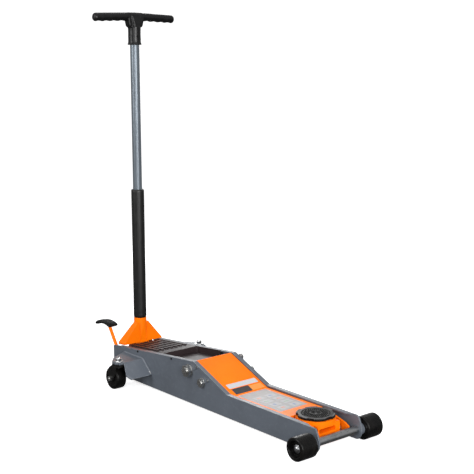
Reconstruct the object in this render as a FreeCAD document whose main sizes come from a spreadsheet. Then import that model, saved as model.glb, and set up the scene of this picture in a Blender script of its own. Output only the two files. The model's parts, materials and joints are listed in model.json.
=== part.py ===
import FreeCAD, Part
import math
import os
import Sketcher

# Long-chassis trolley jack. X runs forward to the saddle, Y to the left, Z up.
# Lengths along X in the sheet are measured from the front axle; every body is then
# carried forward by axle_x, so that the origin lies under the middle of the jack.

SIZES = [
    ("axle_x", 554.15, "front axle, forward of the origin"),
    ("wheel_rad", 35.2, "front wheel radius"),
    ("wheel_wide", 62.0, "front wheel width"),
    ("wheel_mid", 134.0, "middle of a front wheel from the centre plane"),
    ("axle_dia", 24.0, "front axle bar"),
    ("plate_out", 89.0, "outer face of a side plate from the centre plane"),
    ("plate_thk", 5.0, "side plate thickness"),
    ("plate_low", 7.0, "bottom edge of the side plates above the ground"),
    ("nose_high", 80.5, "top edge of the side plates at the nose"),
    ("nose_x", 21.0, "front end of the side plates"),
    ("foot_x", -388.0, "foot of the slope on the side plates"),
    ("peak_x", -560.0, "peak of the side plates"),
    ("peak_z", 151.0, "height of the peak"),
    ("rear_x", -1031.0, "rear end of the side plates"),
    ("rear_z", 109.0, "top edge at the rear end"),
    ("flange_in", 74.0, "inner edge of the turned-in top flange"),
    ("flange_rear", -995.0, "rear end of the flange"),
    ("flange_front", -16.0, "front end of the flange"),
    ("pivot_x", -585.0, "lift arm pivot"),
    ("pivot_z", 116.0, "height of the lift arm pivot"),
    ("pivot_dia", 30.0, "lift arm shaft"),
    ("anchor_x", -515.0, "level link anchor"),
    ("anchor_z", 91.0, "height of the level link anchor"),
    ("anchor_dia", 18.0, "level link shaft"),
    ("arm_out", 72.0, "outer face of the lift arm sides"),
    ("arm_thk", 6.0, "lift arm side thickness"),
    ("boss_dia", 50.0, "bosses round the lift arm pivot"),
    ("cover_thk", 4.0, "lift arm cover thickness"),
    ("cover_rear", -566.0, "rear edge of the cover"),
    ("cover_top", 150.0, "height of the rear edge"),
    ("cover_bend", -380.0, "bend of the cover"),
    ("bend_top", 74.0, "height of the bend"),
    ("cover_front", -130.0, "front edge of the cover"),
    ("front_top", 75.0, "height of the front edge"),
    ("yoke_x", -115.0, "pin joining arm and yoke"),
    ("yoke_z", 60.0, "height of that pin"),
    ("link_dx", 70.0, "second pin of each end, forward of the first"),
    ("link_dz", -25.0, "second pin of each end, above the first"),
    ("lever_len", 80.0, "ram lever length"),
    ("lever_deg", 29.0, "ram lever angle behind straight down"),
    ("saddle_x", -84.5, "saddle centre"),
    ("saddle_rad", 58.5, "saddle radius"),
    ("saddle_low", 76.0, "underside of the saddle"),
    ("saddle_top", 84.0, "top of the saddle rim"),
    ("king_x", -871.0, "caster kingpins"),
    ("king_y", 174.0, "kingpins from the centre plane"),
    ("wing_top", 98.0, "top face of the caster wings"),
    ("wing_thk", 6.0, "wing thickness"),
    ("caster_rad", 38.5, "caster wheel radius"),
    ("caster_wide", 38.0, "caster wheel width"),
    ("caster_trail", 18.0, "caster wheel behind the kingpin"),
    ("handle_x", -990.0, "handle axis"),
    ("hinge_x", -988.0, "handle hinge"),
    ("hinge_z", 104.0, "height of the handle hinge"),
    ("tube_dia", 32.0, "handle tube"),
    ("tube_low", 120.0, "lower end of the handle tube"),
    ("tube_high", 1240.0, "upper end of the handle tube"),
    ("foam_dia", 46.0, "foam sleeve"),
    ("foam_low", 206.0, "lower end of the foam sleeve"),
    ("foam_high", 667.0, "upper end of the foam sleeve"),
    ("socket_dia", 45.0, "handle socket tube"),
    ("socket_low", 110.0, "lower end of the socket tube"),
    ("socket_high", 205.0, "upper end of the socket tube"),
    ("flare_half", 80.0, "half width of the socket flare"),
    ("grip_z", 1262.0, "axis of the T grip at the middle"),
    ("grip_half", 163.5, "half span of the T grip"),
    ("grip_dia", 29.0, "T grip arm"),
    ("ram_z", 41.0, "ram axis above the ground"),
    ("pedal_y", -76.0, "foot pedal plane"),
    ("pedal_x", -1010.0, "foot pedal hinge"),
    ("pedal_z", 68.0, "height of the foot pedal hinge"),
]

PLANES = {"XY": "XY_Plane", "XZ": "XZ_Plane", "YZ": "YZ_Plane"}

DOC = FreeCAD.newDocument("jack")
SHEET = DOC.addObject("Spreadsheet::Sheet", "Sheet")


class Dim:
    """A length that knows both its sheet expression and its present value."""

    def __init__(self, text, value):
        self.text = text
        self.value = value

    def _join(self, other, sign, value):
        return Dim("(%s %s %s)" % (self.text, sign, as_dim(other).text), value)

    def __add__(self, other):
        return self._join(other, "+", self.value + as_dim(other).value)

    def __sub__(self, other):
        return self._join(other, "-", self.value - as_dim(other).value)

    def __mul__(self, other):
        return self._join(other, "*", self.value * as_dim(other).value)

    def __truediv__(self, other):
        return self._join(other, "/", self.value / as_dim(other).value)

    def __radd__(self, other):
        return as_dim(other) + self

    def __rsub__(self, other):
        return as_dim(other) - self

    def __rmul__(self, other):
        return as_dim(other) * self

    def __neg__(self):
        return Dim("(-1 * %s)" % self.text, -self.value)


def as_dim(value):
    if isinstance(value, Dim):
        return value
    return Dim(repr(float(value)), float(value))


def fill_sheet():
    """Write every size to the sheet and return them by name."""
    sizes = {}
    for row, (alias, value, note) in enumerate(SIZES, start=1):
        SHEET.set("A%d" % row, note)
        SHEET.set("B%d" % row, str(value))
        SHEET.setAlias("B%d" % row, alias)
        sizes[alias] = Dim("Sheet.%s" % alias, value)
    DOC.recompute()
    return sizes


class Sizes:
    """Attribute access to the sheet."""

    def __init__(self, sizes):
        self.__dict__.update(sizes)


D = Sizes(fill_sheet())


# ---------------------------------------------------------------- sketch helpers

def drive(obj, prop, value):
    """Tie a property to the sheet when its value comes from there."""
    value = as_dim(value)
    if "Sheet." in value.text:
        obj.setExpression(prop, value.text)
    return value.value


def new_body(label, x=0.0, y=0.0, z=0.0):
    """An empty body whose local origin is at x, y, z from the foot of the front axle."""
    body = DOC.addObject("PartDesign::Body", label)
    body.Label = label
    place(body, x, y, z)
    return body


def place(obj, x=0.0, y=0.0, z=0.0, axis=None, angle=0.0):
    """Placement in the jack's frame, optionally turned about an axis."""
    rotation = FreeCAD.Rotation(axis or FreeCAD.Vector(0, 0, 1), as_dim(angle).value)
    base = FreeCAD.Vector((D.axle_x + x).value, as_dim(y).value, as_dim(z).value)
    obj.Placement = FreeCAD.Placement(base, rotation)
    drive(obj, "Placement.Base.x", D.axle_x + x)
    drive(obj, "Placement.Base.y", y)
    drive(obj, "Placement.Base.z", z)
    if axis is not None:
        drive(obj, "Placement.Rotation.Angle", angle)


def new_sketch(body, name, plane, height):
    """A sketch on one of the body's origin planes, moved along the plane's normal."""
    sketch = body.newObject("Sketcher::SketchObject", name)
    for feature in body.Origin.OriginFeatures:
        if feature.Role == PLANES[plane]:
            sketch.AttachmentSupport = [(feature, "")]
    sketch.MapMode = "FlatFace"
    height = as_dim(height)
    offset = -height if plane == "XZ" else height
    sketch.AttachmentOffset = FreeCAD.Placement(
        FreeCAD.Vector(0, 0, offset.value), FreeCAD.Rotation())
    drive(sketch, "AttachmentOffset.Base.z", offset)
    return sketch


def tie(sketch, index, point, u, v):
    """Fix a point of a curve at u, v from the sketch origin."""
    for kind, axis, value in (("DistanceX", -2, as_dim(u)), ("DistanceY", -1, as_dim(v))):
        if value.value == 0.0 and "Sheet." not in value.text:
            sketch.addConstraint(Sketcher.Constraint("PointOnObject", index, point, axis))
            continue
        number = sketch.addConstraint(
            Sketcher.Constraint(kind, -1, 1, index, point, value.value))
        drive(sketch, "Constraints[%d]" % number, value)


def outline(sketch, points):
    """A closed polygon with every corner driven."""
    spots = [FreeCAD.Vector(as_dim(u).value, as_dim(v).value, 0) for u, v in points]
    first = sketch.GeometryCount
    count = len(spots)
    for number in range(count):
        line = Part.LineSegment(spots[number], spots[(number + 1) % count])
        sketch.addGeometry(line, False)
    for number in range(count):
        following = first + (number + 1) % count
        sketch.addConstraint(
            Sketcher.Constraint("Coincident", first + number, 2, following, 1))
    for number, (u, v) in enumerate(points):
        tie(sketch, first + number, 1, u, v)


def ring(sketch, u, v, diameter):
    """A circle with driven centre and diameter."""
    diameter = as_dim(diameter)
    centre = FreeCAD.Vector(as_dim(u).value, as_dim(v).value, 0)
    circle = Part.Circle(centre, FreeCAD.Vector(0, 0, 1), diameter.value / 2)
    index = sketch.addGeometry(circle, False)
    number = sketch.addConstraint(Sketcher.Constraint("Diameter", index, diameter.value))
    drive(sketch, "Constraints[%d]" % number, diameter)
    tie(sketch, index, 3, u, v)


def draw(sketch, loops):
    """Polygons are lists of corners; circles are (u, v, diameter) tuples."""
    for loop in loops:
        if isinstance(loop, list):
            outline(sketch, loop)
        else:
            ring(sketch, *loop)


def pad(body, name, plane, low, high, loops):
    """Material between low and high along the plane's own axis."""
    low, high = as_dim(low), as_dim(high)
    sketch = new_sketch(body, name + "_sketch", plane, high if plane == "XZ" else low)
    draw(sketch, loops)
    feature = body.newObject("PartDesign::Pad", name)
    feature.Profile = (sketch, [""])
    feature.Length = (high - low).value
    drive(feature, "Length", high - low)
    sketch.Visibility = False
    return feature


def pocket(body, name, plane, low, high, loops):
    """Material removed between low and high along the plane's own axis."""
    low, high = as_dim(low), as_dim(high)
    sketch = new_sketch(body, name + "_sketch", plane, low if plane == "XZ" else high)
    draw(sketch, loops)
    feature = body.newObject("PartDesign::Pocket", name)
    feature.Profile = (sketch, [""])
    feature.Length = (high - low).value
    drive(feature, "Length", high - low)
    sketch.Visibility = False
    return feature


def revolve(body, name, plane, points, axis):
    """A turned solid about the sketch's H_Axis or V_Axis."""
    sketch = new_sketch(body, name + "_sketch", plane, 0)
    outline(sketch, points)
    feature = body.newObject("PartDesign::Revolution", name)
    feature.Profile = (sketch, [""])
    feature.ReferenceAxis = (sketch, [axis])
    feature.Angle = 360.0
    sketch.Visibility = False
    return feature


def edges_near(shape, direction, spots, reach=1.0):
    """Names of the straight edges along a direction whose middles lie near the spots.

    A spot is an (x, y, z) triple in which None matches anything.
    """
    names = []
    for number, edge in enumerate(shape.Edges, start=1):
        if edge.Curve.TypeId != "Part::GeomLine":
            continue
        if abs(edge.tangentAt(edge.FirstParameter).dot(direction)) < 0.999:
            continue
        middle = edge.valueAt((edge.FirstParameter + edge.LastParameter) / 2)
        for spot in spots:
            pairs = [(m, s) for m, s in zip(middle, spot) if s is not None]
            if all(abs(m - s) < reach for m, s in pairs):
                names.append("Edge%d" % number)
    return names


def soften(body, name, direction, spots, radius, reach=1.0):
    """Fillet the straight edges of the body's tip found by edges_near."""
    DOC.recompute()
    tip = body.Tip
    names = edges_near(tip.Shape, direction, spots, reach)
    feature = body.newObject("PartDesign::Fillet", name)
    feature.Base = (tip, names)
    feature.Radius = radius
    return feature


ALONG_X = FreeCAD.Vector(1, 0, 0)
ALONG_Y = FreeCAD.Vector(0, 1, 0)
ALONG_Z = FreeCAD.Vector(0, 0, 1)


def hexagon(u, v, across, turn=30.0):
    """Corners of a hexagon from its width across flats, the first at that angle."""
    radius = across / math.sqrt(3.0)
    corners = []
    for number in range(6):
        angle = math.radians(60.0 * number + turn)
        corners.append((u + radius * math.cos(angle), v + radius * math.sin(angle)))
    return corners


def rectangle(u_low, u_high, v_low, v_high):
    return [(u_low, v_low), (u_high, v_low), (u_high, v_high), (u_low, v_high)]


def sided(side, near, far):
    """The y interval from near to far on one side, as low and high."""
    if side > 0:
        return as_dim(near), as_dim(far)
    return -as_dim(far), -as_dim(near)


def compound(label, solids):
    """A group of finished solids kept as one node."""
    group = DOC.addObject("Part::Compound", label)
    group.Label = label
    group.Links = solids
    return group


def fuse(label, solids):
    joined = DOC.addObject("Part::MultiFuse", label)
    joined.Label = label
    joined.Shapes = solids
    return joined


def cylinder(name, radius, length, x, y, z, axis="Y"):
    """A plain cylinder starting at x, y, z and running along +X, +Y or +Z."""
    item = DOC.addObject("Part::Cylinder", name)
    item.Radius = as_dim(radius).value
    item.Height = as_dim(length).value
    drive(item, "Radius", radius)
    drive(item, "Height", length)
    if axis == "Z":
        place(item, x, y, z)
    elif axis == "Y":
        place(item, x, y, z, ALONG_X, -90.0)
    else:
        place(item, x, y, z, ALONG_Y, 90.0)
    return item


def box(name, x, y, z, dx, dy, dz):
    item = DOC.addObject("Part::Box", name)
    for prop, value in (("Length", dx), ("Width", dy), ("Height", dz)):
        setattr(item, prop, as_dim(value).value)
        drive(item, prop, value)
    place(item, x, y, z)
    return item


# ---------------------------------------------------------------- chassis

def deck_slope():
    """Rise of the plate tops from the rear end to the peak, per unit of length."""
    return (D.peak_z - D.rear_z) / (D.peak_x - D.rear_x)


def plate_top(x):
    """Height of the plate tops at x, behind the peak."""
    return D.rear_z + (as_dim(x) - D.rear_x) * deck_slope()


def side_plate(label, side):
    """Side plate with a round nose, a raised middle and a turned-in top flange."""
    body = new_body(label)
    low, high = sided(side, D.plate_out - D.plate_thk, D.plate_out)
    profile = [
        (D.rear_x, D.plate_low + 28), (D.rear_x + 55, D.plate_low),
        (D.nose_x - 13, D.plate_low), (D.nose_x, D.plate_low + 17),
        (D.nose_x, D.plate_low + 41), (D.nose_x - 14, D.nose_high),
        (D.foot_x, D.nose_high), (D.peak_x, D.peak_z), (D.rear_x, D.rear_z),
    ]
    pad(body, "web", "XZ", low, high, [profile])
    low, high = sided(side, D.flange_in, D.plate_out - D.plate_thk)
    drop = D.plate_thk
    flange = [
        (D.flange_rear, plate_top(D.flange_rear)), (D.peak_x, D.peak_z),
        (D.foot_x, D.nose_high), (D.flange_front, D.nose_high),
        (D.flange_front, D.nose_high - drop), (D.foot_x, D.nose_high - drop),
        (D.peak_x, D.peak_z - drop), (D.flange_rear, plate_top(D.flange_rear) - drop),
    ]
    pad(body, "flange", "XZ", low, high, [flange])
    taper = [(D.flange_front + 1, side * (D.plate_out - D.plate_thk)),
             (D.flange_front + 1, side * (D.flange_in - 1)),
             (D.flange_front - 26, side * (D.flange_in - 1))]
    pocket(body, "flange_taper", "XY", D.nose_high - drop - 1, D.nose_high + 1, [taper])
    low, high = sided(side, D.flange_in - 1, D.plate_out + 1)
    pocket(body, "shaft_holes", "XZ", low, high, [
        (0.0, D.wheel_rad, D.axle_dia),
        (D.pivot_x, D.pivot_z, D.pivot_dia),
        (D.anchor_x, D.anchor_z, D.anchor_dia),
    ])
    corners = [(D.peak_x.value, None, D.peak_z.value),
               (D.rear_x.value, None, D.rear_z.value)]
    soften(body, "corner_rounds", ALONG_Y, corners, 8.0)
    soften(body, "foot_round", ALONG_Y, [(D.foot_x.value, None, D.nose_high.value)], 20.0)
    front, base = D.nose_x.value, D.plate_low.value
    nose = [(-13.0, base, 14.0), (0.0, base + 17, 28.0), (0.0, base + 41, 40.0),
            (-14.0, D.nose_high.value, 14.0)]
    for number, (back, z, radius) in enumerate(nose):
        soften(body, "nose_round_%d" % number, ALONG_Y, [(front + back, None, z)], radius)
    return body


def tie_plates():
    """Cross plates that hold the two side plates together low down."""
    half = D.plate_out - D.plate_thk
    rear = box("rear_tie", D.rear_x + 5, -half, D.plate_low + 5, 6.0, half * 2, 38.0)
    middle = box("middle_tie", D.rear_x + 230, -half, D.plate_low + 1, 60.0, half * 2, 4.0)
    front = box("front_tie", D.foot_x + 60, -half, D.plate_low + 1, 60.0, half * 2, 5.0)
    return compound("chassis_tie_plates", [rear, middle, front])


def front_axle():
    """Plain bar through both side plates and both front wheels."""
    body = new_body("front_axle", 0.0, 0.0, D.wheel_rad)
    reach = D.wheel_mid + D.wheel_wide / 2 - 12
    pad(body, "bar", "XZ", -reach, reach, [(0.0, 0.0, D.axle_dia)])
    return body


def axle_caps():
    """Domed push-on caps on the axle ends."""
    caps = []
    reach = D.wheel_mid + D.wheel_wide / 2 - 12
    for side in (1, -1):
        body = new_body("axle_cap_%s" % ("left" if side > 0 else "right"), 0.0,
                        side * reach, D.wheel_rad)
        points = [(0.0, 0.0), (12.5, 0.0), (12.5, side * 2.0), (9.5, side * 3.0),
                  (8.0, side * 5.0), (5.0, side * 6.6), (0.0, side * 7.0)]
        revolve(body, "dome", "XY", points, "V_Axis")
        caps.append(body)
    return compound("axle_caps", caps)


def wheel_spacers():
    """Short tubes between the side plates and the front wheels."""
    tubes = []
    length = D.wheel_mid - D.wheel_wide / 2 - D.plate_out - 0.4
    for side in (1, -1):
        body = new_body("spacer_%s" % ("left" if side > 0 else "right"), 0.0, 0.0, D.wheel_rad)
        low, high = sided(side, D.plate_out, D.plate_out + length)
        pad(body, "tube", "XZ", low, high, [(0.0, 0.0, D.axle_dia + 12)])
        pocket(body, "bore", "XZ", low, high, [(0.0, 0.0, D.axle_dia)])
        tubes.append(body)
    return compound("wheel_spacers", tubes)


def shoulder(radius, half, blend, side):
    """Points that round a wheel from its face, on that side, to its tread."""
    turns = [math.radians(22.5 * number) for number in range(5)]
    return [(radius - blend * (1 - math.sin(turn)), side * (half - blend * (1 - math.cos(turn))))
            for turn in turns]


def front_wheel(label, side):
    """Solid roller wheel, dished on its outer face around the axle cap."""
    body = new_body(label, 0.0, side * D.wheel_mid, D.wheel_rad)
    half = D.wheel_wide / 2
    bore = D.axle_dia / 2 + 0.1
    floor = half - 12.4
    points = [
        (bore, -side * half), (24.0, -side * half), (25.0, -side * (half - 1.5)),
        (27.0, -side * (half - 1.5)), (28.0, -side * half),
    ]
    points += shoulder(D.wheel_rad, half, 5.0, -side)
    points += reversed(shoulder(D.wheel_rad, half, 5.0, side))
    points += [
        (26.5, side * half), (25.0, side * (half - 1.5)), (23.5, side * floor),
        (bore, side * floor),
    ]
    revolve(body, "tread", "XY", points, "V_Axis")
    return body


def caster_wing(label, side):
    """Outrigger: a flat top plate round the kingpin and a sloping front apron."""
    body = new_body(label)
    near = D.plate_out
    top = [
        (D.king_x + 23, side * near), (D.king_x + 23, side * (D.king_y - 5)),
        (D.king_x + 10, side * (D.king_y + 18)), (D.king_x - 14, side * (D.king_y + 18)),
        (D.king_x - 49, side * (D.king_y - 10)), (D.king_x - 93, side * near),
    ]
    pad(body, "top_plate", "XY", D.wing_top - D.wing_thk, D.wing_top, [top])
    low, high = sided(side, near, D.king_y + 12)
    apron = [
        (D.king_x + 23, D.wing_top), (D.king_x + 74, D.wing_top - 46),
        (D.king_x + 70.6, D.wing_top - 49.7), (D.king_x + 19.6, D.wing_top - 3.7),
    ]
    pad(body, "apron", "XZ", low, high, [apron])
    trim = [
        (D.king_x + 15, side * (D.king_y - 3.5)), (D.king_x + 23.5, side * (D.king_y - 6)),
        (D.king_x + 56, side * (D.king_y + 7.5)), (D.king_x + 63, side * (D.king_y + 5)),
        (D.king_x + 69, side * (D.king_y - 1)), (D.king_x + 72.5, side * (D.king_y - 8)),
        (D.king_x + 76, side * (D.king_y - 17)), (D.king_x + 80, side * (D.king_y + 20)),
        (D.king_x + 15, side * (D.king_y + 20)),
    ]
    pocket(body, "apron_trim", "XY", D.wing_top - 52, D.wing_top - D.wing_thk, [trim])
    sharp = [(D.king_x + 23.5, side * (D.king_y - 5)), (D.king_x + 60, side * (D.king_y + 9)),
             (D.king_x + 60, side * (D.king_y + 20)), (D.king_x + 23.5, side * (D.king_y + 20))]
    pocket(body, "corner_trim", "XY", D.wing_top - D.wing_thk, D.wing_top + 1, [sharp])
    pocket(body, "king_hole", "XY", D.wing_top - D.wing_thk - 1, D.wing_top + 1,
           [(D.king_x, side * D.king_y, 12.0)])
    spots = [(D.king_x.value + 10, side * (D.king_y.value + 18), None),
             (D.king_x.value - 14, side * (D.king_y.value + 18), None)]
    soften(body, "end_rounds", ALONG_Z, spots, 11.0)
    return body


def kingpin(label, side):
    """Stud, washer and cap nut that hold one caster."""
    body = new_body(label, D.king_x, side * D.king_y, 0.0)
    under = D.wing_top - D.wing_thk
    points = [
        (0.0, under - 14.5), (9.0, under - 14.5), (9.0, under - 10.4), (6.0, under - 10.4),
        (6.0, D.wing_top), (16.5, D.wing_top), (16.5, D.wing_top + 2), (15.5, D.wing_top + 3),
        (9.3, D.wing_top + 3), (9.3, D.wing_top + 10), (8.0, D.wing_top + 13),
        (5.0, D.wing_top + 15.2), (0.0, D.wing_top + 16),
    ]
    revolve(body, "stud", "XZ", points, "V_Axis")
    pad(body, "nut", "XY", D.wing_top + 3, D.wing_top + 11, [hexagon(0.0, 0.0, 19.0)])
    return body


def swivel_races():
    """Hardened race rings between the wings and the caster forks."""
    under = D.wing_top - D.wing_thk
    rings = []
    for side in (1, -1):
        body = new_body("race_%s" % ("left" if side > 0 else "right"), D.king_x,
                        side * D.king_y, 0.0)
        points = [(6.0, under - 4), (21.0, under - 4), (22.0, under - 2.6), (22.0, under),
                  (6.0, under)]
        revolve(body, "ring", "XZ", points, "V_Axis")
        rings.append(body)
    return compound("swivel_races", rings)


def deck_body(label, x):
    """A body lying in the slope of the plate tops, its origin on the top line at x."""
    body = DOC.addObject("PartDesign::Body", label)
    body.Label = label
    rise = Dim("atan(%s)" % deck_slope().text, math.degrees(math.atan(deck_slope().value)))
    place(body, x, 0.0, plate_top(x), FreeCAD.Vector(0, -1, 0), rise)
    return body


def deck_cover():
    """Pressed deck between the flanges with raised ribs along it."""
    body = deck_body("deck_cover", -962.0)
    pad(body, "sheet", "XY", -2.5, 0.0, [rectangle(0.0, 210.8, -D.flange_in, D.flange_in)])
    rib_outline = [(4.0, -62.5), (164.0, -62.5), (167.0, -61.0), (168.0, -58.0), (167.0, -55.0),
                   (164.0, -53.5), (4.0, -53.5)]
    rib = pad(body, "rib", "XY", 0.0, 4.0, [rib_outline])
    pattern = body.newObject("PartDesign::LinearPattern", "rib_row")
    pattern.Originals = [rib]
    for feature in body.Origin.OriginFeatures:
        if feature.Role == "Y_Axis":
            pattern.Direction = (feature, [""])
    pattern.Length = 116.0
    pattern.Occurrences = 7
    body.Tip = pattern
    return body


def tool_tray():
    """Open tray sunk between the flanges ahead of the deck."""
    body = deck_body("tool_tray", -751.2)
    long = 129.0
    pad(body, "block", "XY", -22.0, 0.0, [rectangle(0.0, long, -D.flange_in, D.flange_in)])
    pocket(body, "well", "XY", -20.0, 1.0,
           [rectangle(2.0, long + 1, -(D.flange_in - 2), D.flange_in - 2)])
    soften(body, "well_corners", ALONG_Z, [(2.0, 72.0, None), (2.0, -72.0, None)], 6.0)
    return body


def deck_screws():
    """Small screw heads on the outer faces that hold the deck and the tray."""
    heads = []
    for side in (1, -1):
        for x in (-878.0, -681.0):
            start = D.plate_out if side > 0 else -D.plate_out - 1.6
            heads.append(cylinder("deck_screw", 3.6, 1.6, x, start, plate_top(x) - 6.0))
    return compound("deck_screws", heads)


# ---------------------------------------------------------------- shafts and nuts

def cross_shaft(label, x, z, diameter, stub, reach):
    """Shaft across the chassis with reduced threaded ends."""
    body = new_body(label, x, 0.0, z)
    pad(body, "shaft", "XZ", -D.plate_out, D.plate_out, [(0.0, 0.0, diameter)])
    pad(body, "ends", "XZ", -(D.plate_out + reach), D.plate_out + reach, [(0.0, 0.0, stub)])
    return body


def shaft_nuts(label, x, z, across, washer, thickness):
    """Washer and hexagon nut on both ends of a cross shaft."""
    nuts = []
    for side in (1, -1):
        body = new_body("%s_%s" % (label, "left" if side > 0 else "right"), x, 0.0, z)
        low, high = sided(side, D.plate_out, D.plate_out + 2.5)
        pad(body, "washer", "XZ", low, high, [(0.0, 0.0, washer)])
        low, high = sided(side, D.plate_out + 2.5, D.plate_out + 2.5 + thickness)
        pad(body, "nut", "XZ", low, high, [hexagon(0.0, 0.0, across, 12.0)])
        low, high = sided(side, D.plate_out, D.plate_out + 2.5 + thickness)
        pocket(body, "thread", "XZ", low, high, [(0.0, 0.0, across * 2 / 3)])
        nuts.append(body)
    return compound(label, nuts)


def keeper_bolts():
    """Locking studs beside the shaft nuts; hexagon heads on the left side."""
    spots = [(-540.0, 137.6), (-484.0, 106.0)]
    items = []
    for x, z in spots:
        body = new_body("keeper_stud", x, 0.0, z)
        pad(body, "stud", "XZ", -(D.plate_out + 4), -D.plate_out, [(0.0, 0.0, 8.0)])
        items.append(body)
        body = new_body("keeper_head", x, 0.0, z)
        pad(body, "head", "XZ", D.plate_out, D.plate_out + 9, [hexagon(0.0, 0.0, 19.0)])
        items.append(body)
    return compound("keeper_bolts", items)


def pivot_spacers():
    """Tubes that centre the lift arm on its shaft."""
    tubes = []
    for side in (1, -1):
        body = new_body("pivot_spacer", D.pivot_x, 0.0, D.pivot_z)
        low, high = sided(side, D.arm_out + 0.4, D.plate_out - D.plate_thk)
        pad(body, "tube", "XZ", low, high, [(0.0, 0.0, D.pivot_dia + 12)])
        pocket(body, "bore", "XZ", low, high, [(0.0, 0.0, D.pivot_dia)])
        tubes.append(body)
    return compound("pivot_spacers", tubes)


# ---------------------------------------------------------------- lift arm

def arm_side(label, side):
    """Side of the lift arm, deep at the pivot and shallow along the nose."""
    body = new_body(label)
    low, high = sided(side, D.arm_out - D.arm_thk, D.arm_out)
    thk = D.cover_thk
    profile = [
        (D.pivot_x - 22, D.pivot_z + 18), (D.cover_rear, D.cover_top - thk),
        (D.cover_bend, D.bend_top - thk), (D.cover_front, D.front_top - thk),
        (D.yoke_x - 3, D.front_top - thk), (D.yoke_x, D.yoke_z - 14),
        (D.cover_bend - 10, D.yoke_z - 14), (D.anchor_x + 28, D.anchor_z + 4),
        (D.anchor_x + 2, D.anchor_z + 14.5), (D.pivot_x + 20, D.pivot_z - 20),
    ]
    pad(body, "web", "XZ", low, high, [profile])
    pad(body, "boss", "XZ", low, high, [(D.pivot_x, D.pivot_z, D.boss_dia)])
    pad(body, "eye", "XZ", low, high, [(D.yoke_x, D.yoke_z, 28.0)])
    pocket(body, "holes", "XZ", low - 1, high + 1, [
        (D.pivot_x, D.pivot_z, D.pivot_dia + 0.15), (D.yoke_x, D.yoke_z, 14.0)])
    return body


def arm_cover():
    """Bent cover plate welded over the two arm sides."""
    body = new_body("lift_arm_cover")
    thk = D.cover_thk
    profile = [
        (D.cover_rear, D.cover_top - thk), (D.cover_bend, D.bend_top - thk),
        (D.cover_front, D.front_top - thk), (D.cover_front, D.front_top),
        (D.cover_bend, D.bend_top), (D.cover_rear, D.cover_top),
    ]
    pad(body, "sheet", "XZ", -D.arm_out, D.arm_out, [profile])
    lip = rectangle(D.cover_front - 4, D.cover_front - 0.5, D.front_top - 13, D.front_top - 1)
    reach = D.arm_out - D.arm_thk
    pad(body, "lip", "XZ", -reach, reach, [lip])
    soften(body, "bend_round", ALONG_Y, [(D.cover_bend.value, None, D.bend_top.value)], 12.0)
    return body


def arm_hub():
    """Bearing tube of the lift arm between its two sides."""
    body = new_body("lift_arm_hub", D.pivot_x, 0.0, D.pivot_z)
    reach = D.arm_out - D.arm_thk
    pad(body, "tube", "XZ", -reach, reach, [(0.0, 0.0, D.pivot_dia + 14)])
    pocket(body, "bore", "XZ", -reach, reach, [(0.0, 0.0, D.pivot_dia + 0.15)])
    return body


def lever_tip():
    """Ram roller centre, from the lift arm pivot."""
    angle = math.radians(D.lever_deg.value)
    dx = Dim("(-Sheet.lever_len * sin(Sheet.lever_deg * 1deg))",
             -D.lever_len.value * math.sin(angle))
    dz = Dim("(-Sheet.lever_len * cos(Sheet.lever_deg * 1deg))",
             -D.lever_len.value * math.cos(angle))
    return dx, dz


def lift_levers():
    """Two lever plates hanging from the hub, driven by the ram."""
    dx, dz = lever_tip()
    plates = []
    for side in (1, -1):
        body = new_body("lever_%s" % ("left" if side > 0 else "right"),
                        D.pivot_x, 0.0, D.pivot_z)
        low, high = sided(side, 22.0, 32.0)
        web = [(-21.0, 4.0), (dx - 14, dz + 6), (dx + 13, dz - 8), (20.0, -10.0)]
        pad(body, "web", "XZ", low, high, [web])
        pad(body, "ends", "XZ", low, high, [(0.0, 0.0, D.boss_dia - 4)])
        pad(body, "tip", "XZ", low, high, [(dx, dz, 32.0)])
        pocket(body, "bores", "XZ", low - 1, high + 1, [
            (0.0, 0.0, D.pivot_dia + 14), (dx, dz, 14.0)])
        plates.append(body)
    return compound("lift_levers", plates)


def ram_roller():
    """Roller and pin at the tip of the levers."""
    dx, dz = lever_tip()
    body = new_body("ram_roller", D.pivot_x, 0.0, D.pivot_z)
    pad(body, "pin", "XZ", -34.0, 34.0, [(dx, dz, 14.0)])
    pad(body, "roller", "XZ", -21.0, 21.0, [(dx, dz, 24.0)])
    return body


# ---------------------------------------------------------------- yoke and saddle

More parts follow.
